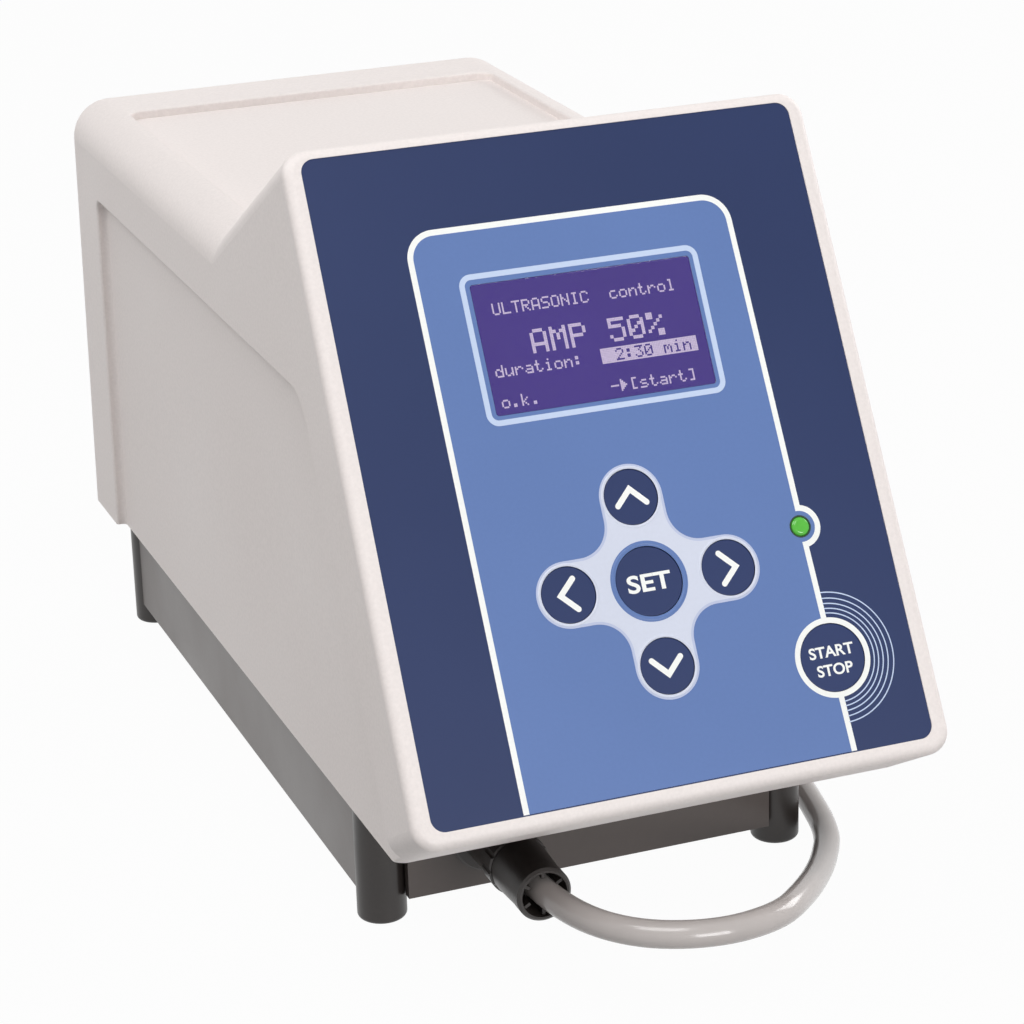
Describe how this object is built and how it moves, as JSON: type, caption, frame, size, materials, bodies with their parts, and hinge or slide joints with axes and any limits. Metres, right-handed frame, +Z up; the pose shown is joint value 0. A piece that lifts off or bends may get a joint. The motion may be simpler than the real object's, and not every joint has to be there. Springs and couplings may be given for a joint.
{
  "type": "ultrasonic homogenizer generator",
  "caption": "Desk generator of an ultrasonic homogenizer: sloping keypad console with display, moulded housing on a raised chassis, plugged-in lead.",
  "frame": {"origin": "on the standing surface, under the middle of the body without its lead", "axes": "+Z up, +Y from the keypad console to the back panel, +X to the right seen from the front"},
  "size_m": [0.2026, 0.5663, 0.2445],
  "materials": {
    "housing_plastic": "light grey moulded plastic, finely textured",
    "chassis_paint": "dark grey satin paint on sheet steel",
    "foot_plastic": "black satin plastic",
    "overlay_film": "printed polyester film, blue",
    "key_film": "printed polyester film, dark blue",
    "window_film": "clear tinted film",
    "display_glass": "lit violet liquid crystal display",
    "led_lens": "green lamp lens",
    "back_panel_metal": "light grey paint on sheet steel",
    "plated_steel": "zinc-plated steel",
    "circuit_board": "green solder mask on glass-fibre board",
    "black_plastic": "black moulded plastic",
    "plug_plastic": "black moulded plastic",
    "cable_jacket": "light grey soft jacket",
    "heat_sink_aluminium": "extruded, plain",
    "ferrite": "sintered ferrite",
    "copper_wire": "enamelled copper wire",
    "capacitor_sleeve": "dark blue shrunk sleeve",
    "ribbon_jacket": "grey flat-cable jacket",
    "fuse_glass": "clear glass with plated caps",
    "contact_brass": "plated contact metal"
  },
  "bodies": {
    "generator": {"back_panel": "back_panel_metal", "back_panel_screws": "plated_steel", "board_screws": "plated_steel", "board_standoffs": "contact_brass", "chassis_tray": "chassis_paint", "display_bezel": "plated_steel", "display_board": "circuit_board", "display_glass": "display_glass", "display_screws": "plated_steel", "display_window": "window_film", "far_connector": "plug_plastic", "far_connector_contacts": "contact_brass", "filter_capacitors": "capacitor_sleeve", "flange_screws": "plated_steel", "foot_back_left": "foot_plastic", "foot_back_right": "foot_plastic", "foot_front_left": "foot_plastic", "foot_front_right": "foot_plastic", "foot_screws": "plated_steel", "footswitch_jack": "black_plastic", "heat_sink": "heat_sink_aluminium", "hf_cable": "cable_jacket", "hf_cable_coil": "cable_jacket", "hf_cable_end": "cable_jacket", "hf_plug_body": "plug_plastic", "hf_socket": "plug_plastic", "hf_socket_nut": "plated_steel", "housing_shell": "housing_plastic", "key_switches": "black_plastic", "keypad_board": "circuit_board", "keypad_board_screws": "plated_steel", "keypad_overlay": "overlay_film", "main_board": "circuit_board", "mains_inlet": "black_plastic", "mains_inlet_pins": "contact_brass", "mains_inlet_screws": "plated_steel", "plug_contacts": "contact_brass", "power_switch_frame": "black_plastic", "power_transistors": "black_plastic", "ribbon_cable": "ribbon_jacket", "ribbon_sockets": "black_plastic", "status_led": "led_lens", "transformer_core": "ferrite", "transformer_winding": "copper_wire", "tuning_choke": "copper_wire"},
    "key_set": {"key_set": "key_film"},
    "key_up": {"key_up": "key_film"},
    "key_down": {"key_down": "key_film"},
    "key_left": {"key_left": "key_film"},
    "key_right": {"key_right": "key_film"},
    "key_start_stop": {"key_start_stop": "key_film"},
    "power_rocker": {"power_rocker": "black_plastic"},
    "fuse_drawer": {"fuse_drawer": "black_plastic", "fuses": "fuse_glass"},
    "plug_coupling_ring": {"plug_coupling_ring": "plug_plastic"}
  },
  "joints": [
    {"name": "key_set_press", "type": "slide", "parent": "generator", "child": "key_set", "axis": [0, 0.8643, -0.503], "range_m": [0, 0.0005], "stiffness_N_per_m": 3000, "springref_m": -0.0002},
    {"name": "key_up_press", "type": "slide", "parent": "generator", "child": "key_up", "axis": [0, 0.8643, -0.503], "range_m": [0, 0.0005], "stiffness_N_per_m": 3000, "springref_m": -0.0002},
    {"name": "key_down_press", "type": "slide", "parent": "generator", "child": "key_down", "axis": [0, 0.8643, -0.503], "range_m": [0, 0.0005], "stiffness_N_per_m": 3000, "springref_m": -0.0002},
    {"name": "key_left_press", "type": "slide", "parent": "generator", "child": "key_left", "axis": [0, 0.8643, -0.503], "range_m": [0, 0.0005], "stiffness_N_per_m": 3000, "springref_m": -0.0002},
    {"name": "key_right_press", "type": "slide", "parent": "generator", "child": "key_right", "axis": [0, 0.8643, -0.503], "range_m": [0, 0.0005], "stiffness_N_per_m": 3000, "springref_m": -0.0002},
    {"name": "key_start_stop_press", "type": "slide", "parent": "generator", "child": "key_start_stop", "axis": [0, 0.8643, -0.503], "range_m": [0, 0.0005], "stiffness_N_per_m": 3000, "springref_m": -0.0002},
    {"name": "power_rocker_tilt", "type": "hinge", "parent": "generator", "child": "power_rocker", "pos_m": [-0.012, 0.18311, 0.092], "axis": [-1, 0, 0], "range_deg": [0, 16]},
    {"name": "fuse_drawer_slide", "type": "slide", "parent": "generator", "child": "fuse_drawer", "axis": [0, 1, 0], "range_m": [0, 0.02]},
    {"name": "plug_coupling_ring_turn", "type": "hinge", "parent": "generator", "child": "plug_coupling_ring", "pos_m": [-0.035, -0.12913, 0.0265], "axis": [0, -1, 0], "range_deg": [0, 90]}
  ]
}
